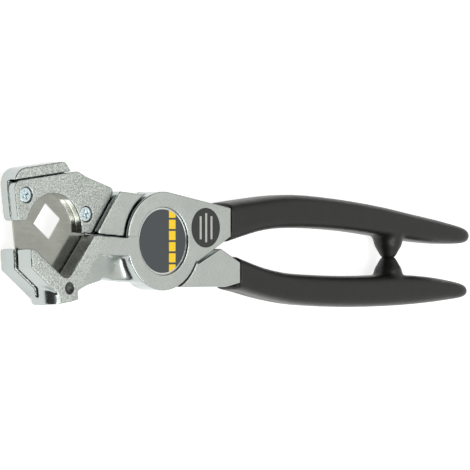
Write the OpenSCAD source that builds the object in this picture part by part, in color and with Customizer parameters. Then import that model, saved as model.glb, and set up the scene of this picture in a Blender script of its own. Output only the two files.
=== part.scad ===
// Pipe shears for plastic pipe: two half-lapped lever castings on one pivot,
// a V anvil jaw and a pointed blade that passes through the anvil's slot.
// The tool lies flat on its grips. X runs from the jaws to the handles, Y is
// the width of the tool and Z its thickness. The origin is on the pivot axis,
// on the plane that the tool rests on. The jaws are drawn closed.

/* [Pipe and V anvil] */
// Largest pipe that the jaws take, outside diameter
pipe_d = 28; // [26:0.5:30]
// Clearance of the round cut-out around that pipe
pipe_gap = 0.3; // [0.1:0.1:0.8]
// Angle between the two faces of the V
v_angle = 92; // [88:1:96]
// Lean of the V and the blade away from the pivot
head_tilt = 7.4; // [5:0.2:10]
// Distance from the pivot to the point of the V, along the tool
v_reach = 51.2; // [50:0.2:53]
// Distance that the point of the V lies below the pivot
v_drop = 15.2; // [14.6:0.2:16]
// Fillet at the bottom of the V
v_fillet = 3.6; // [2:0.2:4.4]

/* [Lever castings] */
// Thickness of the anvil jaw, the shanks and the closed pivot boss
body_t = 15.8; // [15.4:0.1:16.1]
// Radius of the front pivot disc
boss_r = 19.5; // [19:0.1:19.7]
// Radius of the rear pivot disc
rear_boss_r = 17; // [16:0.2:18]
// Distance of the plane between the two discs behind the blade
lap_back = 1.8; // [1.4:0.1:2.2]
// Gap around a pivot disc, between the two castings
lap_gap = 0.5; // [0.3:0.1:0.8]
// Gap between the two pivot discs, face to face
face_gap = 0.2; // [0.1:0.05:0.4]
// Thickness of the arm that carries the blade head
arm_t = 12.4; // [11.6:0.2:13.2]
// Gap between the blade arm and the rail of the anvil lever
rail_gap = 0.35; // [0.3:0.05:0.5]
// Height of the step in that gap, which keeps light and dirt out
rail_step = 0.6; // [0.6:0.1:1]
// Height of the rail on the anvil lever
rail_h = 7; // [6:0.5:8]
// Wall of the jaw behind the left face of the V
jaw_wall = 7.7; // [7:0.1:8.4]
// Draft of the outer sides of the jaw
jaw_draft = 6.6; // [4:0.2:8]
// Radius of the round foot under the V
foot_r = 9.1; // [8.6:0.1:9.4]
// Thickness of the scooped web below the rail
web_t = 6.4; // [5:0.2:8]
// Radius of the hollow between the web and the pivot boss
web_fillet = 4; // [3:0.5:5]
// Distance from the pivot to the end of the upper grip
upper_shank_l = 37.6; // [36:0.2:40]
// Distance from the pivot to the end of the lower grip
lower_shank_l = 43; // [42:0.2:45]
// Gap between the two shanks
shank_gap = 0.7; // [0.5:0.1:1.2]

/* [Blade and clamp] */
// Thickness of the blade
blade_t = 0.8; // [0.6:0.1:1.2]
// Width of the blade
blade_w = 36.4; // [36:0.1:36.8]
// Depth to which the blade point passes the point of the V
blade_pass = 3.8; // [3:0.2:4.4]
// Side of the square window in the blade
window_a = 10.1; // [8:0.1:11]
// Clearance of the blade in the anvil slot, each side
slot_gap = 0.3; // [0.2:0.05:0.5]
// Thickness of the rear half of the blade head
head_t = 4.3; // [3.8:0.1:5]
// Thickness of the clamp plate in front of the blade
plate_t = 3.2; // [2.8:0.1:3.8]
// Gap between the clamp plate and the casting around it
plate_gap = 0.4; // [0.2:0.1:0.6]
// Height of the ledge above the clamp plate
ledge_h = 4.2; // [3.5:0.1:5]

/* [Clamp screws] */
// Thread diameter of the clamp screws
screw_d = 4; // [3.5:0.5:4.5]
// Head diameter of the clamp screws
screw_head_d = 5.6; // [5.2:0.1:6]
// Height of the head of the clamp screws
screw_head_h = 1.5; // [1.2:0.1:1.8]
// Clearance around the head in its counterbore
screw_head_gap = 0.25; // [0.15:0.05:0.4]
// Distance of the screw head below the face of the plate
screw_sink = 0.6; // [0.3:0.1:0.8]

/* [Pivot] */
// Diameter of the shoulder of the pivot bolt
bolt_d = 10; // [8:0.5:11]
// Diameter of the head of the pivot bolt
bolt_head_d = 18; // [16:0.5:19]
// Height of the head of the pivot bolt
bolt_head_h = 2; // [1.6:0.1:2.2]
// Thread diameter of the pivot bolt
bolt_thread_d = 8; // [6:0.5:8]
// Wall of the bush in the blade lever
bush_wall = 1.5; // [1:0.1:2]
// Running clearance of a shaft in its bore, on the radius
run_gap = 0.05; // [0.03:0.01:0.08]
// Thickness of the thrust washer between the discs
thrust_t = 0.6; // [0.4:0.1:1]
// Outer diameter of the thrust washer
thrust_d = 23; // [20:0.5:28]
// Thickness of the plain washer under the nut
plain_washer_t = 0.6; // [0.5:0.1:0.8]
// Thickness of the spring washer under the nut
spring_washer_t = 0.8; // [0.6:0.1:1]
// Angle through which the jaws open
open_angle = 42; // [36:1:43]
// Outer diameter of both washers under the nut
washer_d = 16; // [15:0.5:16.5]
// Height of the pivot nut
nut_h = 2.6; // [2.2:0.1:2.8]
// Width of the nut across its flats
nut_af = 13; // [12:0.5:13.5]

/* [Pivot cover and labels] */
// Diameter of the recess for the pivot cover
cover_d = 26.6; // [25:0.2:28]
// Thickness of the pivot cover
cover_t = 1.2; // [0.8:0.1:1.4]
// Depth of the cover below the face of the boss
cover_sink = 0.85; // [0.6:0.05:1]
// Diameter of the round foil on the pivot cover
foil_d = 25; // [22:0.5:25]
// Thickness of both foils
foil_t = 0.15; // [0.1:0.05:0.2]
// Diameter of the round foil on the upper shank
badge_d = 15.8; // [12:0.2:16]

/* [Grips] */
// Thickness of the dipped grips
grip_t = 16.4; // [16.2:0.1:17]
// Corner radius of the grips
grip_edge_r = 4.6; // [3:0.2:5.4]
// Wall of the dipped sleeve around the handle core
sleeve_wall = 2.2; // [1.8:0.1:2.8]
// Gap between the two stop bumps when the jaws are closed
stop_gap = 0.3; // [0.1:0.1:0.6]
// Height at which the two stop bumps meet, below the pivot
stop_y = 7.1; // [6.8:0.1:7.4]
// Distance from the pivot to the middle of the stop bumps
stop_x = 141.6; // [138:0.2:145]
// Radius of a stop bump at its tip
stop_tip_r = 3.6; // [3:0.1:4.2]

/* [Hidden] */
$fn = 96;

// Levels through the thickness, measured from the plane of the blade
mid_z = grip_t / 2;
body_w = body_t / 2;
arm_w = arm_t / 2;
web_w = web_t / 2;
front_disc_w = -lap_back + face_gap / 2;
rear_disc_w = -lap_back - face_gap / 2;
blade_half_t = blade_t / 2;
slot_w = blade_half_t + slot_gap;
head_back_w = blade_half_t + head_t;
plate_front_w = blade_half_t + plate_t;
ledge_front_w = plate_front_w + 0.2;
lap_r = boss_r + lap_gap;
rear_lap_r = rear_boss_r + lap_gap;
past = 1;

// The head's own frame: its origin is the point of the V and its +Y the
// bisector of the V
v_half = v_angle / 2;
pipe_r = pipe_d / 2;
cut_r = pipe_r + pipe_gap;
pipe_y = pipe_r / sin(v_half);
head_left = -18.4;
blade_left = head_left + 0.3;
blade_right = blade_left + blade_w;
plate_right = blade_right + 0.3;
blade_tip_y = -blade_pass;
left_shoulder_y = blade_tip_y - blade_left / tan(v_half);
right_shoulder_y = blade_tip_y + blade_right / tan(v_half);
head_top_y = pipe_y + cut_r + 11.4;
ledge_y = head_top_y - ledge_h;
plate_top_y = ledge_y - plate_gap;
tongue_y = pipe_y + 5.8;
screw_at = [[-12.8, pipe_y + 15.2], [blade_right - 1.4, pipe_y + 4.2]];
window_at = [-0.8, pipe_y + 3.7];

// Jaw and foot, in the head's frame
jaw_top_y = 14.6;
foot_at = [-0.4, -8.1];
slot_bottom_y = -5.1;
dimple_at = [0.6, -2.8];
dimple_r = 2.6;
dimple_depth = 1.6;
jaw_left_x = -v_reach - 19.4;
slot_end_x = -v_reach + 17.4;
crease_x = 6.5;
relief_turn = -1.2;
ramp_l = 14;
scoop_r = boss_r + 0.25;
scoop_edge_x = 3;

// Rail and arm, one line with a gap between them
rail_end = [-13, 1];
rail_start = [-v_reach + 13.5, 2.4];
scoop_top = [rail_end[0], rail_end[1] - rail_h];
scoop_turn = -2.3;
relief_y = rail_end[1] + 0.6;
arm_left_top = [-v_reach + 29.1, 19.4];
arm_left_low = [-v_reach + 17.2, 4.5];

// Shanks: the upper shank's lower edge and the lower shank's upper edge are
// parallel
upper_top = [upper_shank_l, 13.2];
upper_low = [upper_shank_l, 1.7];
lap_low = [18.7, -8.3];
lower_tip = [31.8, -2.3 - shank_gap];
lower_top = [lower_shank_l, -8.6];
lower_low = [lower_shank_l, -16.9];
lower_heel = [8, -18.3];

// Pivot stack
thrust_pocket_w = rear_disc_w + thrust_t + 0.05;
cover_top_w = body_w - cover_sink;
cover_seat_w = cover_top_w - cover_t;
head_pocket_w = cover_seat_w - bolt_head_h - 0.1;
head_pocket_r = bolt_head_d / 2 + 0.5;
nut_pocket_w = body_w - nut_h - spring_washer_t - plain_washer_t - 0.3;
cut_at = [-0.6, pipe_y];
nut_pocket_r = washer_d / 2 + 0.8;
bolt_r = bolt_d / 2;
bush_r = bolt_r + run_gap + bush_wall;
thread_r = bolt_thread_d / 2;
socket_af = 6;
socket_depth = 1.2;

// Grips: stations of [distance along X, top, bottom, inset of both faces]
// down each handle
upper_stations = [
    [upper_shank_l, 15.3, -0.6, 0],
    [46, 16.3, 1.4, 0],
    [56, 17.4, 3.6, 0],
    [66, 18.4, 4.9, 0],
    [78, 19, 5.3, 0],
    [94, 18.3, 5.1, 0],
    [114, 16.6, 4, 0],
    [134, 14.2, 2, 0],
    [152, 11.4, 0, 0],
    [168, 9, -1.2, 0],
    [178, 7.2, -1.5, 0],
    [184, 5.9, -1.3, 0.3],
    [187.4, 4.8, -0.7, 1.4],
    [189, 3.5, 0.5, 3]
];
lower_stations = [
    [lower_shank_l, -6.1, -19.6, 0],
    [50, -8.2, -20.9, 0],
    [60, -10.9, -23.1, 0],
    [72, -13, -25.2, 0],
    [84, -13.9, -26.6, 0],
    [104, -14.7, -27.7, 0],
    [124, -14.9, -28, 0],
    [144, -14.6, -27.7, 0],
    [162, -15.6, -26.9, 0],
    [174, -17, -26, 0],
    [182, -18.4, -25.2, 0.3],
    [186, -19.6, -24.4, 1.4],
    [187.8, -21, -23.2, 3]
];
core_end_x = 160;
core_t = grip_t - 2 * sleeve_wall;
stop_len = 9.5;
stop_root_r = 7.4;
section_steps = 5;

// Points around an arc
function arc(centre, radius, from, to, steps) = [
    for (i = [0 : steps])
        let (a = from + (to - from) * i / steps)
            [centre[0] + radius * cos(a), centre[1] + radius * sin(a)]
];
function unit(v) = v / norm(v);
function wrap(a) = a > 180 ? a - 360 : (a < -180 ? a + 360 : a);

// One corner of an outline, rounded by its radius
function corner(before, at, after, radius, steps) =
    let (
        u = unit(before - at),
        w = unit(after - at),
        half = acos(u * w) / 2,
        centre = at + unit(u + w) * radius / sin(half),
        start = at + u * radius / tan(half) - centre,
        end = at + w * radius / tan(half) - centre,
        from = atan2(start[1], start[0]),
        sweep = wrap(atan2(end[1], end[0]) - from)
    )
    arc(centre, radius, from, from + sweep, steps);

// Outline with rounded corners, from a list of [x, y, radius]
function rounded(pts, steps = 6) =
    let (n = len(pts))
    [
        for (i = [0 : n - 1])
            let (
                p = pts[i],
                at = [p[0], p[1]],
                before = pts[(i + n - 1) % n],
                after = pts[(i + 1) % n]
            )
            each p[2] == 0 ? [at] : corner(
                [before[0], before[1]], at, [after[0], after[1]], p[2], steps)
    ];

// A flat slice between two levels, measured from the plane of the blade
module slice(from, to) {
    translate([0, 0, mid_z + from])
        linear_extrude(to - from)
            children();
}

// A round of the pivot between two levels
module pivot_round(radius, from, to) {
    slice(from, to)
        circle(radius);
}

// Moves a shape, or a flat outline, from the head's frame to the tool's frame
module in_head() {
    translate([-v_reach, -v_drop, 0])
        rotate([0, 0, head_tilt])
            children();
}
module in_head_flat() {
    translate([-v_reach, -v_drop])
        rotate(head_tilt)
            children();
}

// Dipped grip: rounded sections lofted from station to station
function section(station, thick, edge, steps) =
    let (
        top = station[1],
        low = station[2],
        hz = thick / 2 - max(station[3], 0),
        r = min(edge, (top - low) / 2 - 0.05, hz - 0.5)
    )
    [
        for (q = [[-1, 1, 90], [-1, -1, 180], [1, -1, 270], [1, 1, 0]])
            for (i = [0 : steps])
                let (
                    a = q[2] + 90 * i / steps,
                    cy = q[1] > 0 ? top - r : low + r,
                    cz = q[0] * (hz - r)
                )
                [station[0], cy + r * sin(a), mid_z + cz + r * cos(a)]
    ];
function loft_faces(rings, count) = concat(
    [[for (i = [count - 1 : -1 : 0]) i]],
    [
        for (k = [0 : rings - 2])
            for (i = [0 : count - 1])
                let (
                    j = (i + 1) % count,
                    a = k * count + i,
                    b = k * count + j,
                    c = a + count,
                    d = b + count
                )
                each [[a, b, d], [a, d, c]]
    ],
    [[for (i = [0 : count - 1]) (rings - 1) * count + i]]
);

// Stations, smoothed between the given ones
function blend(p0, p1, p2, p3, t) =
    0.5 * ((2 * p1) + (p2 - p0) * t
        + (2 * p0 - 5 * p1 + 4 * p2 - p3) * t * t
        + (3 * p1 - p0 - 3 * p2 + p3) * t * t * t);
function smoothed(list, parts) =
    let (n = len(list))
    concat(
        [
            for (i = [0 : n - 2])
                for (k = [0 : parts - 1])
                    blend(list[max(i - 1, 0)], list[i], list[i + 1],
                        list[min(i + 2, n - 1)], k / parts)
        ],
        [list[n - 1]]
    );

module sleeve(stations) {
    rings = smoothed(stations, 2);
    count = 4 * (section_steps + 1);
    polyhedron(
        points = [
            for (s = rings)
                each section(s, grip_t, grip_edge_r, section_steps)
        ],
        faces = loft_faces(len(rings), count),
        convexity = 6
    );
}

// Stop bump, a round peg that points from its grip towards the other one
module stop_bump(direction) {
    tip_y = -stop_y + direction * stop_gap / 2;
    translate([stop_x, tip_y, mid_z])
        rotate([direction < 0 ? 90 : -90, 0, 0])
            rotate_extrude()
                polygon(concat(
                    [[0, stop_len], [0, 0]],
                    arc([stop_tip_r - 1.8, 1.8], 1.8, -90, 0, 5),
                    [[stop_tip_r + 1.8, 5], [stop_root_r, stop_len]]
                ));
}

// Core of a handle, inside its sleeve: the outline follows the stations
module core(stations) {
    root = stations[0];
    inner = [
        for (s = stations)
            if (s[0] > root[0] && s[0] < core_end_x) s
    ];
    slice(-core_t / 2, core_t / 2)
        polygon(concat(
            [[root[0] - 6, root[1] - sleeve_wall - 0.6]],
            [for (s = inner) [s[0], s[1] - sleeve_wall]],
            [
                for (i = [len(inner) - 1 : -1 : 0])
                    [inner[i][0], inner[i][2] + sleeve_wall]
            ],
            [[root[0] - 6, root[2] + sleeve_wall + 0.6]]
        ));
}

// Outline of the anvil jaw, in the head's frame, before its sides are cut
module jaw_outline() {
    polygon(rounded([
        [head_left - 5, jaw_top_y, 0],
        [head_left - 5, 2, 0],
        [-9, foot_at[1] + 0.6, 0],
        [4, foot_at[1] + 0.6, 1.5],
        [4.8, -4.4, 1],
        [12, -3, 0],
        [12, jaw_top_y, 0]
    ]));
}

// Outline of the arm from the V to the pivot
module anvil_arm_outline() {
    polygon(rounded([
        [-v_reach + 4, -v_drop, 0],
        [-v_reach + 6.6, -v_drop - 3.1, 0],
        [-v_reach + 11, -v_drop - 1.8, 4],
        [-30, -15.2, 12],
        [-22, -15.6, 0],
        [-10.4, -16.3, 0],
        [-9, -10, 0],
        [-9, rail_end[1], 0],
        [rail_end[0], rail_end[1], 0],
        [rail_start[0], rail_start[1], 0],
        [rail_start[0] - 6, rail_start[1] + 0.4, 0]
    ]));
}

// Step on the rear half of the rail, under the blade arm
module rail_step_outline(lift) {
    polygon([
        rail_end - [0, 2],
        rail_end + [0, lift],
        [rail_start[0] + 2, rail_start[1] - 0.1 + lift],
        [rail_start[0] + 2, rail_start[1] - 2]
    ]);
}

// Slanted cut along a side of the jaw; what lies on its -Y side is taken off
module draft_cut(at, turn) {
    translate([at[0], at[1], mid_z])
        rotate([0, 0, turn])
            rotate([-jaw_draft, 0, 0])
                translate([-60, -40, -20])
                    cube([120, 40, 40]);
}

// The jaw with its drafted outer sides
module jaw() {
    difference() {
        slice(-body_w, body_w)
            in_head_flat()
                jaw_outline();
        in_head()
            draft_cut([-jaw_wall * cos(v_half), -jaw_wall * sin(v_half)], v_half - 90);
        draft_cut([jaw_left_x, -6], -86);
    }
}

// The V, open upwards, with its filleted bottom
module v_cut() {
    in_head_flat()
        polygon(rounded([
            [0, 0, v_fillet],
            [40 * sin(v_half), 40 * cos(v_half), 0],
            [40 * sin(v_half), 60, 0],
            [-40 * sin(v_half), 60, 0],
            [-40 * sin(v_half), 40 * cos(v_half), 0]
        ]));
}

// Slot for the blade, open to the V and to the jaw's outer side
module slot_outline() {
    in_head_flat()
        polygon([
            [head_left - 6, jaw_top_y + 4],
            [head_left - 6, slot_bottom_y],
            [1.5, slot_bottom_y],
            [14, 4],
            [14, jaw_top_y + 4]
        ]);
    polygon([
        [-v_reach, -6],
        [slot_end_x - 5, -6],
        [slot_end_x, -2.6],
        [slot_end_x, 8],
        [-v_reach, 8]
    ]);
}

// Round foot under the V, where the slot ends
module foot() {
    intersection() {
        in_head()
            translate([foot_at[0], foot_at[1], mid_z])
                rotate([-90, 0, 0])
                    cylinder(r = foot_r, h = 9.8);
        slice(-body_w, body_w)
            translate([-v_reach, -v_drop])
                square(60, center = true);
    }
}

// Hollow below the rail: a ramp away from the V that ends at the boss
module scoop() {
    ramp_slope = ramp_l / (body_w - web_w);
    difference() {
        intersection() {
            in_head()
                rotate(-v_half)
                    translate([0, 60, mid_z])
                        rotate([90, 0, 0])
                            linear_extrude(120)
                                polygon([
                                    [crease_x - ramp_slope * past, body_w + past],
                                    [crease_x + ramp_l, web_w],
                                    [crease_x + 60, web_w],
                                    [crease_x + 60, body_w + past]
                                ]);
            slice(0, body_w + 2 * past)
                translate(scoop_top)
                    rotate(scoop_turn)
                        translate([-40, -40])
                            square([40 + scoop_edge_x, 40]);
        }
        pivot_round(scoop_r, 0, body_w + 3 * past);
        translate([0, 0, mid_z + web_w])
            rotate_extrude()
                polygon(concat(
                    [[scoop_r - 1, -past], [scoop_r + web_fillet, -past]],
                    arc([scoop_r + web_fillet, web_fillet - 0.1], web_fillet, 270, 187.5, 8),
                    [[scoop_r - 1, web_fillet]]
                ));
    }
}

module upper_shank_outline() {
    polygon([
        [0, boss_r],
        [boss_r * cos(81), boss_r * sin(81)],
        upper_top,
        upper_low,
        lap_low,
        [0, 0]
    ]);
}

module anvil_outline() {
    anvil_arm_outline();
    upper_shank_outline();
}

module anvil_lever() {
    color("gainsboro")
        difference() {
            union() {
                slice(-body_w, body_w)
                    anvil_outline();
                slice(front_disc_w, body_w)
                    circle(boss_r);
                slice(-arm_w, rear_disc_w)
                    rail_step_outline(rail_step);
                jaw();
                foot();
                core(upper_stations);
            }
            pivot_round(rear_lap_r, -body_w - past, front_disc_w);
            pivot_round(lap_r, rear_disc_w, front_disc_w);
            slice(-body_w - past, body_w + past)
                v_cut();
            slice(-slot_w, slot_w)
                slot_outline();
            scoop();
            translate([0, 0, 2 * mid_z])
                mirror([0, 0, 1])
                    scoop();
            in_head()
                slice(body_w - dimple_depth, body_w + past)
                    translate(dimple_at)
                        circle(dimple_r);
            upper_left_relief();
            pivot_round(cover_d / 2, cover_seat_w, body_w + past);
            pivot_round(head_pocket_r, head_pocket_w, body_w + past);
            pivot_round(bolt_r + run_gap, -body_w, body_w);
            pivot_round(thrust_d / 2 + 0.3, rear_disc_w, thrust_pocket_w);
        }
}

// The boss's face falls slightly towards the blade arm
module upper_left_relief() {
    translate([0, relief_y, mid_z + body_w])
        rotate([0, relief_turn, 0])
            translate([-boss_r - 0.2, 0, 0])
                cube([boss_r + 0.2, boss_r, 2]);
}

// Groove behind the front disc, where the upper shank's rear corner runs as the
// jaws open
module shank_groove() {
    groove_turn = open_angle + 1.5;
    slice(-body_w - past, rear_disc_w + face_gap)
        polygon(concat(
            arc([0, 0], lap_r + 0.8, 88, 90 + groove_turn, 24),
            arc([0, 0], rear_boss_r - 0.3, 90 + groove_turn, 88, 24)
        ));
}

// Rear half of the blade head, in the head's frame
module head_outline() {
    difference() {
        polygon(rounded([
            [head_left, tongue_y, 2],
            [-cut_r + 1.5, tongue_y, 0],
            [-cut_r + 3, pipe_y, 0],
            [blade_right - 4.9, pipe_y - 2.6, 0],
            [blade_right + 0.7, right_shoulder_y + 2, 1.6],
            [blade_right + 14.7, pipe_y + 10.8, 0],
            [blade_right + 13.1, pipe_y + 12.8, 1.4],
            [blade_right + 1.1, pipe_y + 18.2, 14],
            [blade_right - 3.7, plate_top_y, 2],
            [blade_right - 7.3, plate_top_y, 0],
            [blade_right - 7.6, ledge_y + 0.6, 0],
            [blade_right - 9.7, head_top_y, 3],
            [head_left, head_top_y, 6.5]
        ]));
        translate(cut_at)
            circle(cut_r);
    }
}

// Clamp plate, in the head's frame
module plate_outline() {
    difference() {
        polygon(rounded([
            [head_left, tongue_y, 1.6],
            [-cut_r + 1.2, tongue_y, 0],
            [-cut_r + 3, pipe_y, 0],
            [blade_right - 4.9, pipe_y - 2.6, 0],
            [plate_right, right_shoulder_y + 2, 1.6],
            [plate_right + 13.6, pipe_y + 10.8, 1.4],
            [blade_right + 13.1, pipe_y + 12.8, 1.4],
            [blade_right + 1.1, pipe_y + 18.2, 14],
            [blade_right - 3.7, plate_top_y, 3],
            [head_left, plate_top_y, 3]
        ]));
        translate(cut_at)
            circle(cut_r);
    }
}

// Rear half of the head, with the ledge above the clamp plate
module head() {
    difference() {
        slice(-head_back_w, ledge_front_w)
            head_outline();
        slice(-blade_half_t, ledge_front_w + past)
            translate([head_left - past, ledge_y - 60])
                square([60, 60]);
    }
}

module blade_outline() {
    difference() {
        polygon([
            [0, blade_tip_y],
            [blade_right, right_shoulder_y],
            [blade_right, plate_top_y - 6],
            [blade_right - 6, plate_top_y - 1.4],
            [blade_left + 1.5, plate_top_y - 1.4],
            [blade_left, plate_top_y - 3],
            [blade_left, left_shoulder_y]
        ]);
        translate(window_at)
            rotate(45)
                square(window_a, center = true);
    }
}

// Pocket for the plate and the blade where the arm meets the head
module plate_pocket_outline() {
    pocket_right = plate_right + plate_gap;
    polygon([
        [blade_right - 6.3, right_shoulder_y - 6],
        [pocket_right, right_shoulder_y - 6],
        [pocket_right, right_shoulder_y + 2],
        [pocket_right + 13.6, pipe_y + 10.8],
        [pocket_right + 13.6, pipe_y + 16],
        [blade_right - 6.3, pipe_y + 16]
    ]);
}

// Arm between the pivot and the blade head, cut away around the boss
module arm_outline() {
    polygon(rounded([
        [arm_left_low[0], arm_left_low[1], 0.8],
        [arm_left_low[0] + 0.8, rail_start[1] + rail_gap, 0],
        [rail_end[0], rail_end[1] + rail_gap, 0],
        [-9, 6, 0],
        [-7.2, 18.8, 0],
        [-12, 18.5, 6],
        [arm_left_top[0], arm_left_top[1], 0.8]
    ]));
}

module lower_shank_outline() {
    polygon([
        lap_low + [0.4, -shank_gap],
        lower_tip,
        lower_top,
        lower_low,
        [lower_shank_l - 8, -18.4],
        lower_heel,
        [0, 0.5 - rear_boss_r],
        [0, 0]
    ]);
}

module blade_lever() {
    color("silver")
        difference() {
            union() {
                slice(-arm_w, arm_w)
                    arm_outline();
                slice(-body_w, rear_disc_w)
                    circle(rear_boss_r);
                slice(-body_w, body_w)
                    lower_shank_outline();
                core(lower_stations);
                in_head()
                    head();
            }
            pivot_round(lap_r, rear_disc_w, body_w + past);
            shank_groove();
            slice(-arm_w - past, rear_disc_w + rail_gap)
                rail_step_outline(rail_step + rail_gap);
            slice(-blade_half_t, arm_w + past)
                in_head_flat()
                    plate_pocket_outline();
            for (at = screw_at)
                slice(-body_w, body_w)
                    in_head_flat()
                        translate(at)
                            circle(screw_d / 2);
            pivot_round(bush_r, -body_w - past, 0);
            pivot_round(nut_pocket_r, -body_w - past, -nut_pocket_w);
        }
}

module blade() {
    color("darkgray")
        slice(-blade_half_t, blade_half_t)
            in_head_flat()
                difference() {
                    blade_outline();
                    for (at = screw_at)
                        translate(at)
                            circle(screw_d / 2 + 0.1);
                }
}

screw_floor_w = plate_front_w - screw_sink - screw_head_h;
module clamp_plate() {
    color("lightgray")
        difference() {
            slice(blade_half_t, plate_front_w)
                in_head_flat()
                    plate_outline();
            in_head()
                for (at = screw_at) {
                    slice(0, plate_front_w + past)
                        translate(at)
                            circle(screw_d / 2 + 0.1);
                    slice(screw_floor_w, plate_front_w + past)
                        translate(at)
                            circle(screw_head_d / 2 + screw_head_gap);
                }
        }
}

module clamp_screws() {
    color("lightsteelblue")
        in_head()
            for (at = screw_at)
                difference() {
                    union() {
                        slice(-head_back_w + 0.3, screw_floor_w + 0.1)
                            translate(at)
                                circle(screw_d / 2);
                        slice(screw_floor_w, screw_floor_w + screw_head_h)
                            translate(at)
                                circle(screw_head_d / 2);
                    }
                    slice(screw_floor_w + 0.4, plate_front_w + past)
                        translate(at)
                            for (turn = [0, 90])
                                rotate(turn + 20)
                                    square([screw_head_d * 0.62, 0.9], center = true);
                }
}

module pivot_bolt() {
    color("slategray")
        difference() {
            union() {
                pivot_round(bolt_head_d / 2, head_pocket_w, head_pocket_w + bolt_head_h);
                pivot_round(bolt_r, -nut_pocket_w - 0.05, head_pocket_w + 0.1);
                pivot_round(thread_r, -mid_z, 0);
            }
            translate([0, 0, mid_z + head_pocket_w + bolt_head_h - socket_depth])
                cylinder(r = socket_af / 2 / cos(30), h = socket_depth + past, $fn = 6);
        }
}

module pivot_bush() {
    color("peru")
        difference() {
            pivot_round(bush_r, -nut_pocket_w, rear_disc_w);
            pivot_round(bolt_r + run_gap, -body_w, past);
        }
}

module thrust_washer() {
    color("dimgray")
        difference() {
            pivot_round(thrust_d / 2, rear_disc_w + 0.05, thrust_pocket_w);
            pivot_round(bolt_r + 0.3, -body_w, body_w);
        }
}

module washer_ring(outer_r, from, to) {
    difference() {
        pivot_round(outer_r, from, to);
        pivot_round(thread_r + 0.2, from - past, to + past);
    }
}

plain_low_w = -nut_pocket_w - 0.1 - plain_washer_t;
spring_low_w = plain_low_w - spring_washer_t;
module plain_washer() {
    color("lightgray")
        washer_ring(washer_d / 2, plain_low_w, plain_low_w + plain_washer_t);
}

module spring_washer() {
    color("gray")
        washer_ring(washer_d / 2 - 0.5, spring_low_w, spring_low_w + spring_washer_t);
}

module pivot_nut() {
    color("lightsteelblue")
        difference() {
            translate([0, 0, mid_z + spring_low_w - nut_h])
                cylinder(r = nut_af / 2 / cos(30), h = nut_h, $fn = 6);
            pivot_round(thread_r + 0.02, -body_w - past, 0);
        }
}

module pivot_cover() {
    color("silver")
        pivot_round(cover_d / 2 - 0.1, cover_seat_w, cover_top_w);
}

module pivot_foil() {
    color("darkslategray")
        pivot_round(foil_d / 2, cover_top_w, cover_top_w + foil_t);
}

badge_at = [23.1, 5.3];
module round_badge() {
    color("#2c2d2b")
        slice(body_w, body_w + foil_t)
            translate(badge_at)
                circle(badge_d / 2);
}

module upper_grip() {
    color("#3a3b39")
        difference() {
            union() {
                sleeve(upper_stations);
                stop_bump(1);
            }
            core(upper_stations);
        }
}

module lower_grip() {
    color("#3a3b39")
        difference() {
            union() {
                sleeve(lower_stations);
                stop_bump(-1);
            }
            core(lower_stations);
        }
}

anvil_lever();
blade_lever();
blade();
clamp_plate();
clamp_screws();
pivot_bolt();
pivot_bush();
thrust_washer();
plain_washer();
spring_washer();
pivot_nut();
pivot_cover();
pivot_foil();
round_badge();
upper_grip();
lower_grip();
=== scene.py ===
import math

import bmesh
import bpy
from mathutils import Matrix, Vector


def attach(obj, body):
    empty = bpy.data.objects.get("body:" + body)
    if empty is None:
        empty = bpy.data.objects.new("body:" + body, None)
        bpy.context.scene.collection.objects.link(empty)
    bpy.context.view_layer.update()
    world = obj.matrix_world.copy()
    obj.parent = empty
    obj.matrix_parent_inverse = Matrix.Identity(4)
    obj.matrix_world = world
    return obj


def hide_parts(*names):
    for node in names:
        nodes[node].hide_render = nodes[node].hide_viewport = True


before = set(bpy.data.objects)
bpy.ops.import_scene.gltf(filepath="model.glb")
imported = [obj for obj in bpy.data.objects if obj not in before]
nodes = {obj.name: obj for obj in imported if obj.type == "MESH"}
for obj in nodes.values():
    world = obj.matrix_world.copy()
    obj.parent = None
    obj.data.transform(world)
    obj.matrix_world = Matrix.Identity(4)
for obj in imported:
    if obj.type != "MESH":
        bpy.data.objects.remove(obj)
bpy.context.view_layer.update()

# Camera: a long lens from the left, square to the tool's width and halfway
# between the top and the side of the jaws
LENS_MM = 229.787
SENSOR_MM = 36
CAMERA_AT = Vector((-0.8233, 0.0024, 0.8595))
CAMERA_RIGHT = Vector((0.6989, 0, 0.7152))
CAMERA_UP = Vector((0, 1, 0))

camera_data = bpy.data.cameras.new("studio_camera")
camera_data.lens = LENS_MM
camera_data.sensor_width = SENSOR_MM
camera_data.clip_start = 0.05
camera_data.clip_end = 30
camera = bpy.data.objects.new("studio_camera", camera_data)
camera_back = CAMERA_RIGHT.cross(CAMERA_UP)
camera.matrix_world = Matrix((
    (CAMERA_RIGHT.x, CAMERA_UP.x, camera_back.x, CAMERA_AT.x),
    (CAMERA_RIGHT.y, CAMERA_UP.y, camera_back.y, CAMERA_AT.y),
    (CAMERA_RIGHT.z, CAMERA_UP.z, camera_back.z, CAMERA_AT.z),
    (0, 0, 0, 1),
))
scene = bpy.context.scene
scene.collection.objects.link(camera)
scene.camera = camera
scene.view_settings.view_transform = "Standard"

# Studio: a white sweep under and behind the tool. The floor is matt white card
# that also glows a little for the camera and for reflections, so that it
# reads as white paper while the tool's contact shadow stays on it.
MM = 0.001
FLOOR_SIZE = 40
FLOOR_DROP = 0.15 * MM
FLOOR_GLOW = 0.82


def linear(hex_code):
    """An sRGB hex colour as linear RGBA."""
    parts = [int(hex_code[i:i + 2], 16) / 255 for i in (1, 3, 5)]
    return [p / 12.92 if p <= 0.04045 else ((p + 0.055) / 1.055) ** 2.4 for p in parts] + [1]


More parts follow.
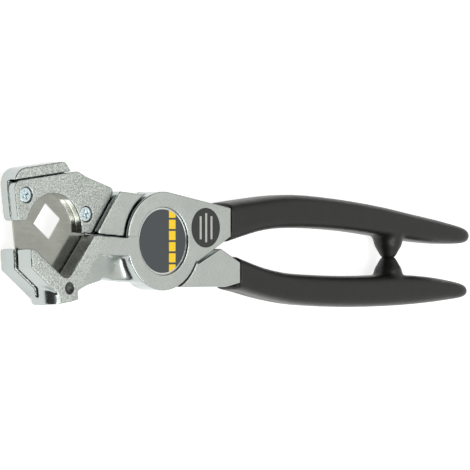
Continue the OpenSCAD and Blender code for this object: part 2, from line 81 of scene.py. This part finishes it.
def add(tree, kind, settings=None, links=None):
    """Adds a shader node, sets its values and joins its inputs."""
    made = tree.nodes.new("ShaderNode" + kind)
    for name, value in (settings or {}).items():
        if isinstance(name, int) or name in made.inputs:
            made.inputs[name].default_value = value
        else:
            setattr(made, name, value)
    for name, source in (links or {}).items():
        tree.links.new(source, made.inputs[name])
    return made


def new_tree(name):
    """An empty material and its node tree, with the output node."""
    material = bpy.data.materials.new(name)
    material.use_nodes = True
    material.node_tree.nodes.clear()
    output = add(material.node_tree, "OutputMaterial")
    return material, material.node_tree, output


floor_mesh = bpy.data.meshes.new("floor")
half = FLOOR_SIZE / 2
floor_mesh.from_pydata(
    [(-half, -half, -FLOOR_DROP), (half, -half, -FLOOR_DROP),
     (half, half, -FLOOR_DROP), (-half, half, -FLOOR_DROP)], [], [(0, 1, 2, 3)])
floor = bpy.data.objects.new("floor", floor_mesh)
scene.collection.objects.link(floor)

white_card, tree, output = new_tree("matt_white_card")
path = add(tree, "LightPath")
seen = add(tree, "Math", {"operation": "MAXIMUM"},
           {0: path.outputs["Is Camera Ray"], 1: path.outputs["Is Glossy Ray"]})
seen = add(tree, "Math", {"operation": "MAXIMUM"},
           {0: seen.outputs[0], 1: path.outputs["Is Transmission Ray"]})
glow = add(tree, "Math", {"operation": "MULTIPLY", 1: FLOOR_GLOW}, {0: seen.outputs[0]})
card = add(tree, "BsdfDiffuse", {"Color": linear("#c0c0be")})
shine = add(tree, "Emission", {"Color": (1, 1, 1, 1)}, {"Strength": glow.outputs[0]})
both = add(tree, "AddShader", links={0: card.outputs[0], 1: shine.outputs[0]})
tree.links.new(both.outputs[0], output.inputs["Surface"])
floor.data.materials.append(white_card)

# Light: a plain surround that is white above the handles and dim elsewhere,
# which gives the metal's edges their dark lines, and two soft boxes, one
# overhead and one long one below the jaws
SURROUND_LOW = 0.05
SURROUND_HIGH = 0.86
BRIGHT_SIDE = Vector((0.60, -0.22, 0.77))
DIM_EDGE = 0.20
BRIGHT_EDGE = 0.82

world = bpy.data.worlds.new("studio")
world.use_nodes = True
scene.world = world
tree = world.node_tree
tree.nodes.clear()
output = add(tree, "OutputWorld")
direction = add(tree, "TexCoord")
towards = add(tree, "VectorMath", {"operation": "DOT_PRODUCT", 1: BRIGHT_SIDE},
              {0: direction.outputs["Generated"]})
level = add(tree, "MapRange", {
    "interpolation_type": "SMOOTHSTEP", "From Min": DIM_EDGE, "From Max": BRIGHT_EDGE,
    "To Min": SURROUND_LOW, "To Max": SURROUND_HIGH}, {"Value": towards.outputs["Value"]})
surround = add(tree, "Background", {"Color": (1, 1, 1, 1)}, {"Strength": level.outputs[0]})
tree.links.new(surround.outputs[0], output.inputs["Surface"])


def soft_box(name, place, aim, width, height, radiance):
    """A rectangular soft box that shines at one point."""
    data = bpy.data.lights.new(name, "AREA")
    data.shape = "RECTANGLE"
    data.size = width
    data.size_y = height
    data.energy = radiance * math.pi * width * height
    box = bpy.data.objects.new(name, data)
    box.location = place
    box.rotation_mode = "QUATERNION"
    box.rotation_quaternion = (Vector(aim) - Vector(place)).to_track_quat("-Z", "Y")
    scene.collection.objects.link(box)


soft_box("soft_box_above", place=(0.15, 0.30, 1.50), aim=(0.04, 0, 0),
         width=1.0, height=0.6, radiance=2.2)
soft_box("soft_box_below", place=(-0.25, -0.62, 1.13), aim=(-0.02, 0, 0),
         width=1.20, height=0.46, radiance=3.8)

# Anvil lever: one zinc die casting with the V anvil, the pivot boss and the
# upper shank. It was tumbled after casting, so its edges are soft and its
# light grey skin has an orange peel, coarse on the jaw and fine on the boss.
HEAD_AT = Vector((-51.2, -15.2)) * MM
HEAD_TILT = math.radians(7.4)
HEAD_LEAN = Matrix.Rotation(HEAD_TILT, 2)
V_HALF = math.radians(46)
V_INWARD = [Vector((-side * math.cos(V_HALF), math.sin(V_HALF))) for side in (-1, 1)]
MID_Z = 8.2 * MM
FRONT_Z = MID_Z + 7.9 * MM
CAST_GRAIN = 0.42 * MM
WORN_ROUNDS = 4
SAME_POINT = 0.002 * MM


def cad_copy(node, name):
    """A new piece with a node's mesh, its corners joined."""
    piece = bpy.data.objects.new(name, nodes[node].data.copy())
    scene.collection.objects.link(piece)
    piece.data.materials.clear()
    shape = bmesh.new()
    shape.from_mesh(piece.data)
    bmesh.ops.remove_doubles(shape, verts=shape.verts, dist=SAME_POINT)
    bmesh.ops.recalc_face_normals(shape, faces=shape.faces)
    shape.to_mesh(piece.data)
    shape.free()
    return piece


def settle(piece):
    """Turns a piece's modifiers into mesh."""
    graph = bpy.context.evaluated_depsgraph_get()
    mesh = bpy.data.meshes.new_from_object(piece.evaluated_get(graph))
    piece.modifiers.clear()
    piece.data = mesh


def one_skin(piece, grain):
    """Gives a piece one even skin of small faces."""
    skin = piece.modifiers.new("skin", "REMESH")
    skin.mode = "VOXEL"
    skin.voxel_size = grain
    skin.use_smooth_shade = True
    settle(piece)


def soften(piece, rounds, group=""):
    """Wears a piece's edges and corners round, or only those in a vertex group."""
    worn = piece.modifiers.new("worn edges", "SMOOTH")
    worn.factor = 0.5
    worn.iterations = rounds
    worn.vertex_group = group
    settle(piece)


def stands_for(piece, node, body):
    """Puts a piece in the place of a solid, on its body."""
    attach(piece, body)
    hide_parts(node)


def in_head(point):
    """A point of the tool, in the jaws' own frame at the point of the V."""
    x = point.x - HEAD_AT.x
    y = point.y - HEAD_AT.y
    c, s = math.cos(HEAD_TILT), math.sin(HEAD_TILT)
    return Vector((c * x + s * y, c * y - s * x))


# Tumbled zinc: a light grey satin with fine dark specks. The peel's dimples are
# about 0.3 mm across and the pits 0.2 mm, and both are drawn twice as coarse, as
# they would be too fine to show. The peel is coarse on the head and on the jaw's
# far end and fine towards the pivot. The die leaves the sides smooth and glossy.
# Pointiness is 0.5 on a flat face, more on a worn edge, less in a hollow corner, which gets a
# painted shade.
PEEL_MM = 0.65
PIT_MM = 0.45
CLOUD_MM = 9
TO_PIVOT = (1, -0.6, 0)
COARSE_AT = -42 * MM
FINE_AT = -28 * MM
FINE_SHARE = 0.18
COARSE_SHADE = 0.92
PEEL_RELIEF = 0.20 * MM
SPECK_REACH = 0.22
SPECK_DARK = 0.52
SPECK_LIGHT = 1.36
WORN_FROM = 0.53
WORN_TO = 0.60
WORN_LIGHT = 1.14
# Painted shade in the hollow corners: where it starts and ends in pointiness, and how dark it gets
CORNER_SHADE_FROM = 0.47
CORNER_SHADE_TO = 0.40
CORNER_SHADE_DARK = 0.45
SIDE_ROUGH = 0.20
FACE_ROUGH = 0.33
FLAT_FROM = 0.80
FLAT_TO = 0.97
CLOUD_LOW = 0.3
CLOUD_HIGH = 0.7


def cloudy_tone(tree, place, cloud_mm, dark, light):
    """A tone that drifts between two shades in clouds of one size."""
    clouds = add(tree, "TexNoise", {"Scale": 1000 / cloud_mm, "Detail": 2},
                 {"Vector": place.outputs["Object"]})
    share = add(tree, "MapRange", {"From Min": CLOUD_LOW, "From Max": CLOUD_HIGH},
                {"Value": clouds.outputs["Fac"]})
    return add(tree, "Mix", {"data_type": "RGBA", 6: linear(dark), 7: linear(light)},
               {0: share.outputs[0]})


cast_zinc, tree, output = new_tree("tumbled_zinc")
place = add(tree, "TexCoord")
along = add(tree, "VectorMath", {"operation": "DOT_PRODUCT", 1: TO_PIVOT},
            {0: place.outputs["Object"]})
skin = add(tree, "NewGeometry")
facing = add(tree, "SeparateXYZ", links={0: skin.outputs["Normal"]})
upright = add(tree, "Math", {"operation": "ABSOLUTE"}, {0: facing.outputs["Z"]})
flat = add(tree, "MapRange", {"From Min": FLAT_FROM, "From Max": FLAT_TO},
           {"Value": upright.outputs[0]})
share = add(tree, "MapRange", {"From Min": FINE_AT, "From Max": COARSE_AT,
                               "To Min": FINE_SHARE, "To Max": 1},
            {"Value": along.outputs["Value"]})
coarse = add(tree, "Math", {"operation": "MULTIPLY"}, {0: share.outputs[0], 1: flat.outputs[0]})
peel = add(tree, "TexNoise", {"Scale": 1000 / PEEL_MM, "Detail": 3, "Roughness": 0.6},
           {"Vector": place.outputs["Object"]})
pits = add(tree, "TexNoise", {"Scale": 1000 / PIT_MM, "Detail": 2},
           {"Vector": place.outputs["Object"]})
face_tone = cloudy_tone(tree, place, CLOUD_MM, "#bec4bd", "#c5cbc4")
tone = add(tree, "Mix", {"data_type": "RGBA", 6: linear("#b9c0be")},
           {0: flat.outputs[0], 7: face_tone.outputs[2]})
both = add(tree, "Math", {"operation": "ADD"}, {0: peel.outputs["Fac"], 1: pits.outputs["Fac"]})
waves = add(tree, "Math", {"operation": "SUBTRACT", 1: 1.0}, {0: both.outputs[0]})
level = add(tree, "Math", {"operation": "MULTIPLY"}, {0: waves.outputs[0], 1: coarse.outputs[0]})
speck = add(tree, "MapRange", {"From Min": -SPECK_REACH, "From Max": SPECK_REACH,
                               "To Min": SPECK_DARK, "To Max": SPECK_LIGHT},
            {"Value": level.outputs[0]})
dull = add(tree, "MapRange", {"To Min": 1.0, "To Max": COARSE_SHADE}, {"Value": coarse.outputs[0]})
worn = add(tree, "MapRange", {"From Min": WORN_FROM, "From Max": WORN_TO,
                              "To Min": 1.0, "To Max": WORN_LIGHT},
           {"Value": skin.outputs["Pointiness"]})
# Painted shade: the hollow corners and creases are darkened, where shade falls
corner_shade = add(tree, "MapRange", {"From Min": CORNER_SHADE_TO, "From Max": CORNER_SHADE_FROM,
                               "To Min": CORNER_SHADE_DARK, "To Max": 1.0},
            {"Value": skin.outputs["Pointiness"]})
shade = worn
for more in (corner_shade, speck, dull):
    shade = add(tree, "Math", {"operation": "MULTIPLY"}, {0: shade.outputs[0], 1: more.outputs[0]})
colour = add(tree, "VectorMath", {"operation": "SCALE"},
             {0: tone.outputs[2], "Scale": shade.outputs[0]})
gloss = add(tree, "MapRange", {"To Min": SIDE_ROUGH, "To Max": FACE_ROUGH},
            {"Value": flat.outputs[0]})
bump = add(tree, "Bump", {"Strength": 1.0, "Distance": PEEL_RELIEF}, {"Height": level.outputs[0]})
surface = add(tree, "BsdfPrincipled", {"Metallic": 1}, {
    "Base Color": colour.outputs[0], "Roughness": gloss.outputs[0], "Normal": bump.outputs[0]})
tree.links.new(surface.outputs[0], output.inputs["Surface"])


# A bare metal shows the marks of its grit or its cutter, 0.1 to 0.3 mm wide. That
# is too fine to show, so each finish draws its grain a few times as coarse.
METAL_CLOUD_MM = 7
GRAIN_LOW = 0.35
GRAIN_HIGH = 0.65
GLOSS_SPREAD = 0.15


def bare_metal(name, dark, light, rough, grain_mm, speck, relief_mm, stretch=(1, 1, 1)):
    """A metal finish with a cloudy tone and a grain of one size and direction."""
    material, tree, output = new_tree(name)
    place = add(tree, "TexCoord")
    pulled = add(tree, "VectorMath", {"operation": "MULTIPLY", 1: stretch},
                 {0: place.outputs["Object"]})
    grain = add(tree, "TexNoise", {"Scale": 1000 / grain_mm, "Detail": 3},
                {"Vector": pulled.outputs[0]})
    tone = cloudy_tone(tree, place, METAL_CLOUD_MM, dark, light)
    specks = add(tree, "MapRange", {"From Min": GRAIN_LOW, "From Max": GRAIN_HIGH,
                                    "To Min": 1 - speck, "To Max": 1 + speck / 2},
                 {"Value": grain.outputs["Fac"]})
    colour = add(tree, "VectorMath", {"operation": "SCALE"},
                 {0: tone.outputs[2], "Scale": specks.outputs[0]})
    gloss = add(tree, "MapRange", {"From Min": GRAIN_LOW, "From Max": GRAIN_HIGH,
                                   "To Min": rough * (1 - GLOSS_SPREAD),
                                   "To Max": rough * (1 + GLOSS_SPREAD)},
                {"Value": grain.outputs["Fac"]})
    bump = add(tree, "Bump", {"Strength": 1.0, "Distance": relief_mm * MM},
               {"Height": grain.outputs["Fac"]})
    surface = add(tree, "BsdfPrincipled", {"Metallic": 1}, {
        "Base Color": colour.outputs[0], "Roughness": gloss.outputs[0],
        "Normal": bump.outputs[0]})
    tree.links.new(surface.outputs[0], output.inputs["Surface"])
    return material


# Milled zinc: the two inner faces of the V, cut bare, with a matt sheen and a
# coarse grain. A face of the skin counts as one of them when it lies near it and
# faces the same way.
NEAR_FACE = 0.35 * MM
SAME_WAY = 0.9
MILLED = 1
milled_zinc = bare_metal("milled_zinc", "#cfd2ce", "#dcdfdb", rough=0.36, grain_mm=0.8,
                         speck=0.26, relief_mm=0.10)


def is_v_face(face):
    """Says if a face lies on one of the two inner faces of the V."""
    centre = in_head(face.center)
    normal = in_head(face.center + face.normal) - centre
    for inward in V_INWARD:
        if normal.dot(inward) > SAME_WAY and abs(centre.dot(inward)) < NEAR_FACE and centre.y > 0:
            return True
    return False


# Dark zinc: the dimple under the V is given a dark, rough and matt finish. Its floor
# swells and sinks about every 0.7 to 0.8 mm, given here in radians for each metre
# along X and Y.
DIMPLE_AT = Vector((0.6, -2.8)) * MM
DIMPLE_R = 2.4 * MM
DIMPLE_RIM = 1.12
DIMPLE_DEPTH = 1.6 * MM
DIMPLE_FLOOR_Z = FRONT_Z - 2.2 * MM
DIMPLE_SWELL = 0.22 * MM
WAVES_X = 9000
WAVES_Y = 7600
DARK_DIMPLE = 2
dark_dimple_zinc = bare_metal("dark_dimple_zinc", "#686c66", "#7a7e77", rough=0.55, grain_mm=0.7,
                          speck=0.5, relief_mm=0.25)


def shallow_dimple(piece):
    """Makes the cast pit under the V a shallow, uneven bowl."""
    for vertex in piece.data.vertices:
        away = (in_head(vertex.co) - DIMPLE_AT).length / DIMPLE_R
        if away < DIMPLE_RIM and vertex.co.z > DIMPLE_FLOOR_Z:
            waves = math.sin(WAVES_X * vertex.co.x) * math.cos(WAVES_Y * vertex.co.y)
            depth = DIMPLE_DEPTH * max(0, 1 - away ** 2)
            depth += DIMPLE_SWELL * waves * max(0, 1 - away)
            vertex.co.z = min(FRONT_Z, FRONT_Z - depth)


# The box round the scooped web beside the boss, where the fillet is widened
WEB_LOW = Vector((-31, -18)) * MM
WEB_HIGH = Vector((-9, -1)) * MM
WEB_BACK_Z = MID_Z - 4 * MM
WEB_FRONT_Z = FRONT_Z - 0.9 * MM
WEB_ROUNDS = 120


def blend_web(piece):
    """Blends the web into the wall of the boss with a wide fillet."""
    group = piece.vertex_groups.new(name="web")
    for vertex in piece.data.vertices:
        if WEB_LOW.x < vertex.co.x < WEB_HIGH.x and WEB_LOW.y < vertex.co.y < WEB_HIGH.y \
                and WEB_BACK_Z < vertex.co.z < WEB_FRONT_Z:
            group.add([vertex.index], 1, "REPLACE")
    soften(piece, WEB_ROUNDS, "web")
    piece.vertex_groups.clear()


anvil = cad_copy("anvil_lever", "anvil_casting")
one_skin(anvil, CAST_GRAIN)
shallow_dimple(anvil)
blend_web(anvil)
soften(anvil, WORN_ROUNDS)
for finish in (cast_zinc, milled_zinc, dark_dimple_zinc):
    anvil.data.materials.append(finish)
for polygon in anvil.data.polygons:
    if is_v_face(polygon):
        polygon.material_index = MILLED
    elif polygon.center.z > FRONT_Z - 2 * DIMPLE_DEPTH \
            and (in_head(polygon.center) - DIMPLE_AT).length < DIMPLE_R:
        polygon.material_index = DARK_DIMPLE
stands_for(anvil, "anvil_lever", "anvil_side")

# Blade lever and clamp plate: the second zinc casting, with the blade arm and
# the lower shank, and the cast plate that clamps the blade to its head. The
# round cut-out that clears the pipe is polished through both of them.
CUT_AT = Vector((-0.6, 19.46)) * MM
CUT_R = 14.3 * MM

# Polished zinc: bright and almost a mirror, with no grain left. The wall's faces
# and corners are told from the flat faces by the Z of their normals.
WALL_FACE_Z = 0.5
WALL_CORNER_Z = 0.6
POLISHED = 1
polished_zinc = bare_metal("polished_zinc", "#dcdedc", "#e6e8e6", rough=0.12, grain_mm=1.2,
                           speck=0.05, relief_mm=0.004)


def is_round_wall(face):
    """Says if a face lies on the wall of the round cut-out in the head."""
    spoke = in_head(face.center) - CUT_AT
    return abs(spoke.length - CUT_R) < NEAR_FACE and abs(face.normal.z) < WALL_FACE_Z


def true_wall(piece):
    """Trues the wall of the cut-out to a cylinder, so that its polish is even."""
    normals = [vertex.normal.copy() for vertex in piece.data.vertices]
    for vertex in piece.data.vertices:
        spoke = in_head(vertex.co) - CUT_AT
        if abs(spoke.length - CUT_R) < NEAR_FACE / 2 and abs(vertex.normal.z) < WALL_CORNER_Z:
            out = HEAD_LEAN @ spoke.normalized()
            vertex.co.x, vertex.co.y = HEAD_AT + HEAD_LEAN @ CUT_AT + out * CUT_R
            normals[vertex.index] = Vector((-out.x, -out.y, vertex.normal.z)).normalized()
    piece.data.normals_split_custom_set_from_vertices(normals)


arm = cad_copy("blade_lever", "blade_arm_casting")
one_skin(arm, CAST_GRAIN)
soften(arm, WORN_ROUNDS)

# The plate's rear face is drawn a little into the blade, so that its worn edge
# opens no line on the blade
PLATE_GRAIN = 0.3 * MM
PLATE_REAR_Z = MID_Z + 0.65 * MM
PLATE_SINK = 0.6 * MM
plate = cad_copy("clamp_plate", "clamp_plate_casting")
one_skin(plate, PLATE_GRAIN)
for vertex in plate.data.vertices:
    if vertex.co.z < PLATE_REAR_Z:
        vertex.co.z -= PLATE_SINK
soften(plate, WORN_ROUNDS)
for piece in (arm, plate):
    true_wall(piece)
    piece.data.materials.append(cast_zinc)
    piece.data.materials.append(polished_zinc)
    for polygon in piece.data.polygons:
        polygon.material_index = POLISHED if is_round_wall(polygon) else 0
stands_for(arm, "blade_lever", "blade_side")
stands_for(plate, "clamp_plate", "blade_side")

# Blade: hardened strip steel, ground and polished on both faces, with two
# ground bevels that meet in a point and a square window for clearance
BLADE_TIP = Vector((0, -3.8)) * MM
BEVEL_W = 1.8 * MM
EDGE_HALF_W = 0.04 * MM
ON_EDGE = 0.05 * MM
ON_CUT = 0.001 * MM

# Ground and polished steel: a soft mirror in a warm grey, with faint streaks
# along the tool from the grinding
blade_steel = bare_metal("polished_blade_steel", "#a3a59c", "#adafa6", rough=0.15, grain_mm=0.9,
                         speck=0.05, relief_mm=0.001, stretch=(0.15, 1, 1))
blade = cad_copy("blade", "pointed_blade")
shape = bmesh.new()
shape.from_mesh(blade.data)
for normal in V_INWARD:
    turned = HEAD_LEAN @ normal
    start = HEAD_AT + HEAD_LEAN @ (BLADE_TIP + normal * BEVEL_W)
    bmesh.ops.bisect_plane(
        shape, geom=shape.verts[:] + shape.edges[:] + shape.faces[:], dist=ON_CUT,
        plane_co=(start.x, start.y, 0), plane_no=(turned.x, turned.y, 0))
for vertex in shape.verts:
    off_tip = in_head(vertex.co) - BLADE_TIP
    if min(off_tip.dot(normal) for normal in V_INWARD) < ON_EDGE:
        vertex.co.z = MID_Z + math.copysign(EDGE_HALF_W, vertex.co.z - MID_Z)
shape.to_mesh(blade.data)
shape.free()
blade.data.materials.append(blade_steel)
stands_for(blade, "blade", "blade_side")

# Clamp screws: pan-head machine screws of steel with a cross recess, which hold
# the plate and the blade to the head. Blue zinc plate gives them a bright and
# slightly blue gloss.
SCREW_GRAIN = 0.11 * MM
SMALL_ROUNDS = 3
plated_steel = bare_metal("blue_zinc_plate", "#d3e2e6", "#e2eef1", rough=0.20, grain_mm=0.5,
                          speck=0.10, relief_mm=0.015)
screws = cad_copy("clamp_screws", "plate_screws")
one_skin(screws, SCREW_GRAIN)
soften(screws, SMALL_ROUNDS)
screws.data.materials.append(plated_steel)
stands_for(screws, "clamp_screws", "blade_side")

# Pivot: an oiled black bolt under a zinc-plated nut, with a plain and a spring
# washer behind the boss, a black thrust washer between the discs and a sintered
# bronze bush in the blade lever
NUT_GRAIN = 0.16 * MM
BOLT_GRAIN = 0.2 * MM

# Blackened steel is dark with a soft oily sheen, and sintered bronze warm and
# fine-grained
black_steel = bare_metal("oiled_black_steel", "#3a3b3c", "#47484a", rough=0.34, grain_mm=0.6,
                         speck=0.15, relief_mm=0.02)
bronze = bare_metal("sintered_bronze", "#a5783f", "#b98a4e", rough=0.30, grain_mm=0.5,
                    speck=0.08, relief_mm=0.01)
for node, name, grain, finish, slot in (
        ("pivot_nut", "hex_nut", NUT_GRAIN, plated_steel, "zinc_plated_steel"),
        ("pivot_bolt", "threaded_bolt", BOLT_GRAIN, black_steel, "black_steel")):
    piece = cad_copy(node, name)
    one_skin(piece, grain)
    soften(piece, SMALL_ROUNDS)
    piece.data.materials.append(finish)
    stands_for(piece, node, "anvil_side")


def refinish(node, finish):
    """Gives a solid that stays in view its own finish."""
    nodes[node].data.materials.clear()
    nodes[node].data.materials.append(finish)


refinish("plain_washer", plated_steel)
refinish("thrust_washer", black_steel)
refinish("spring_washer", black_steel)
refinish("pivot_bush", bronze)

# Pivot cover and labels: a turned aluminium cover pressed into the boss, a
# slate-grey foil on it with a printed row of yellow squares, and a charcoal
# foil on the shank with three plain pale bars. Both have a satin lacquer.
RING_MM = 0.6
RING_SHADE = 0.92
RING_RELIEF = 0.01 * MM
SQUARE_MM = 3.6
SQUARE_PITCH_MM = 4.4
SQUARES_X_MM = 5.1
FOIL_GRAIN_MM = 0.9
FOIL_RELIEF = 0.02 * MM
BADGE_AT_MM = (23.1, 5.3)
BAR_MM = 1.1
BARS_MM = ((-3.0, 4.6), (0.1, 5.8), (3.1, 4.6))

# Turned aluminium: a bright satin with fine rings round its centre. Turning
# leaves them about 0.2 mm apart, and they are drawn at 0.6 mm so that they show.
cover_metal, tree, output = new_tree("turned_aluminium")
place = add(tree, "TexCoord")
flat = add(tree, "VectorMath", {"operation": "MULTIPLY", 1: (1, 1, 0)},
           {0: place.outputs["Object"]})
reach = add(tree, "VectorMath", {"operation": "LENGTH"}, {0: flat.outputs[0]})
turns = add(tree, "Math", {"operation": "MULTIPLY", 1: 2 * math.pi * 1000 / RING_MM},
            {0: reach.outputs["Value"]})
rings = add(tree, "Math", {"operation": "SINE"}, {0: turns.outputs[0]})
bright = add(tree, "MapRange", {"From Min": -1, "To Min": RING_SHADE, "To Max": 1.0},
             {"Value": rings.outputs[0]})
colour = add(tree, "VectorMath", {"operation": "SCALE", 0: linear("#dcdedc")[:3]},
             {"Scale": bright.outputs[0]})
bump = add(tree, "Bump", {"Strength": 1.0, "Distance": RING_RELIEF}, {"Height": rings.outputs[0]})
surface = add(tree, "BsdfPrincipled", {"Metallic": 1, "Roughness": 0.24},
              {"Base Color": colour.outputs[0], "Normal": bump.outputs[0]})
tree.links.new(surface.outputs[0], output.inputs["Surface"])


# Printed foil: dark and satin under its lacquer, whose faint grain of about
# 0.3 mm is drawn at 0.9 mm so that it shows
def lacquered_foil(name, dark, light):
    """A satin foil with a faint grain; gives its nodes, for a print on it."""
    material, tree, output = new_tree(name)
    place = add(tree, "TexCoord")
    grain = add(tree, "TexNoise", {"Scale": 1000 / FOIL_GRAIN_MM, "Detail": 2},
                {"Vector": place.outputs["Object"]})
    tone = add(tree, "Mix", {"data_type": "RGBA", 6: linear(dark), 7: linear(light)},
               {0: grain.outputs["Fac"]})
    bump = add(tree, "Bump", {"Strength": 0.5, "Distance": FOIL_RELIEF},
               {"Height": grain.outputs["Fac"]})
    surface = add(tree, "BsdfPrincipled", {"Roughness": 0.42, "IOR": 1.5},
                  {"Base Color": tone.outputs[2], "Normal": bump.outputs[0]})
    tree.links.new(surface.outputs[0], output.inputs["Surface"])
    return material, tree, place, tone, surface


def printed(tree, base, shapes, ink):
    """Adds a flat print to a foil, where any of its shapes is 1."""
    inked = shapes[0]
    for more in shapes[1:]:
        inked = add(tree, "Math", {"operation": "MAXIMUM"},
                    {0: inked.outputs[0], 1: more.outputs[0]})
    return add(tree, "Mix", {"data_type": "RGBA", 7: linear(ink)},
               {0: inked.outputs[0], 6: base.outputs[2]})


charcoal_foil, tree, place, tone, surface = lacquered_foil("charcoal_printed_foil", "#20231e",
                                                           "#282b25")
apart = add(tree, "SeparateXYZ", links={0: place.outputs["Object"]})
bars = []
for bar_x, bar_half in BARS_MM:
    across = add(tree, "Math", {"operation": "COMPARE", 1: (BADGE_AT_MM[0] + bar_x) * MM,
                                2: BAR_MM / 2 * MM}, {0: apart.outputs["X"]})
    along = add(tree, "Math", {"operation": "COMPARE", 1: BADGE_AT_MM[1] * MM,
                               2: bar_half * MM}, {0: apart.outputs["Y"]})
    bars.append(add(tree, "Math", {"operation": "MULTIPLY"},
                    {0: across.outputs[0], 1: along.outputs[0]}))
print_tone = printed(tree, tone, bars, "#b9bcb3")
tree.links.new(print_tone.outputs[2], surface.inputs["Base Color"])

printed_foil, tree, place, tone, surface = lacquered_foil("slate_printed_foil", "#393f41",
                                                          "#41474a")
apart = add(tree, "SeparateXYZ", links={0: place.outputs["Object"]})
across = add(tree, "Math", {"operation": "COMPARE", 1: SQUARES_X_MM * MM,
                            2: SQUARE_MM / 2 * MM}, {0: apart.outputs["X"]})
step = add(tree, "Math", {"operation": "FLOORED_MODULO", 1: SQUARE_PITCH_MM * MM},
           {0: apart.outputs["Y"]})
along = add(tree, "Math", {"operation": "COMPARE", 1: SQUARE_PITCH_MM / 2 * MM,
                           2: SQUARE_MM / 2 * MM}, {0: step.outputs[0]})
inked = add(tree, "Math", {"operation": "MULTIPLY"}, {0: across.outputs[0], 1: along.outputs[0]})
print_tone = printed(tree, tone, [inked], "#ffd60a")
tree.links.new(print_tone.outputs[2], surface.inputs["Base Color"])
refinish("pivot_cover", cover_metal)
refinish("pivot_foil", printed_foil)
refinish("round_badge", charcoal_foil)

# Grips: two sleeves of soft black vinyl, dipped over the shanks in one piece
# with the round stop bumps that meet when the jaws are closed. Dipping leaves
# a satin skin with a slow swell and a faint grain.
SWELL_MM = 6
DIP_GRAIN_MM = 0.9
DIP_GRAIN_SHARE = 0.12
DIP_RELIEF = 0.3 * MM
DIP_SMOOTH = 0.34
DIP_ROUGH = 0.42
SLEEVE_GRAIN = 0.55 * MM
SLEEVE_ROUNDS = 8

vinyl, tree, output = new_tree("dipped_black_vinyl")
place = add(tree, "TexCoord")
swell = add(tree, "TexNoise", {"Scale": 1000 / SWELL_MM, "Detail": 2},
            {"Vector": place.outputs["Object"]})
grain = add(tree, "TexNoise", {"Scale": 1000 / DIP_GRAIN_MM, "Detail": 3},
            {"Vector": place.outputs["Object"]})
tone = add(tree, "Mix", {"data_type": "RGBA", 6: linear("#161714"), 7: linear("#1e1f1c")},
           {0: swell.outputs["Fac"]})
height = add(tree, "Math", {"operation": "MULTIPLY_ADD", 1: DIP_GRAIN_SHARE},
             {0: grain.outputs["Fac"], 2: swell.outputs["Fac"]})
gloss = add(tree, "MapRange", {"From Min": CLOUD_LOW, "From Max": CLOUD_HIGH,
                               "To Min": DIP_SMOOTH, "To Max": DIP_ROUGH},
            {"Value": grain.outputs["Fac"]})
bump = add(tree, "Bump", {"Strength": 0.4, "Distance": DIP_RELIEF}, {"Height": height.outputs[0]})
surface = add(tree, "BsdfPrincipled", {"IOR": 1.44}, {
    "Base Color": tone.outputs[2], "Roughness": gloss.outputs[0], "Normal": bump.outputs[0]})
tree.links.new(surface.outputs[0], output.inputs["Surface"])


# The stop bump's place and size, with heights from its tip (0) to its root (1)
STOP_X = 141.6 * MM
STOP_Y = -7.1 * MM
STOP_LEN = 9.5 * MM
STOP_ROOT_R = 7.6 * MM
MELT_REACH = 1.35
MELT_TOP = 1.25
MELT_ROUNDS = 14
BELL_SWELL = 0.13
BELL_TOP = 0.75
TIP_TOP = 0.3
TIP_R = 4.2 * MM
TIP_DOME = 0.9 * MM


def round_bump(piece, direction):
    """Swells the stop bump into the dome that the dipping leaves."""
    group = piece.vertex_groups.new(name="bump")
    for vertex in piece.data.vertices:
        across = Vector((vertex.co.x - STOP_X, vertex.co.z - MID_Z))
        height = (vertex.co.y - STOP_Y) * direction / STOP_LEN
        if across.length < STOP_ROOT_R * MELT_REACH and height < MELT_TOP:
            group.add([vertex.index], 1, "REPLACE")
        if across.length < STOP_ROOT_R and height < 1:
            wider = 1 + BELL_SWELL * math.sin(math.pi * min(1, max(0, height / BELL_TOP)))
            vertex.co.x = STOP_X + across.x * wider
            vertex.co.z = MID_Z + across.y * wider
            if height < TIP_TOP:
                inner = 1 - (across.length / TIP_R) ** 2
                vertex.co.y -= direction * TIP_DOME * max(0, inner)
    soften(piece, MELT_ROUNDS, "bump")
    piece.vertex_groups.clear()


for node, name, body, direction in (("upper_grip", "upper_sleeve", "anvil_side", 1),
                                    ("lower_grip", "lower_sleeve", "blade_side", -1)):
    piece = cad_copy(node, name)
    one_skin(piece, SLEEVE_GRAIN)
    round_bump(piece, direction)
    soften(piece, SLEEVE_ROUNDS)
    piece.data.materials.append(vinyl)
    stands_for(piece, node, body)
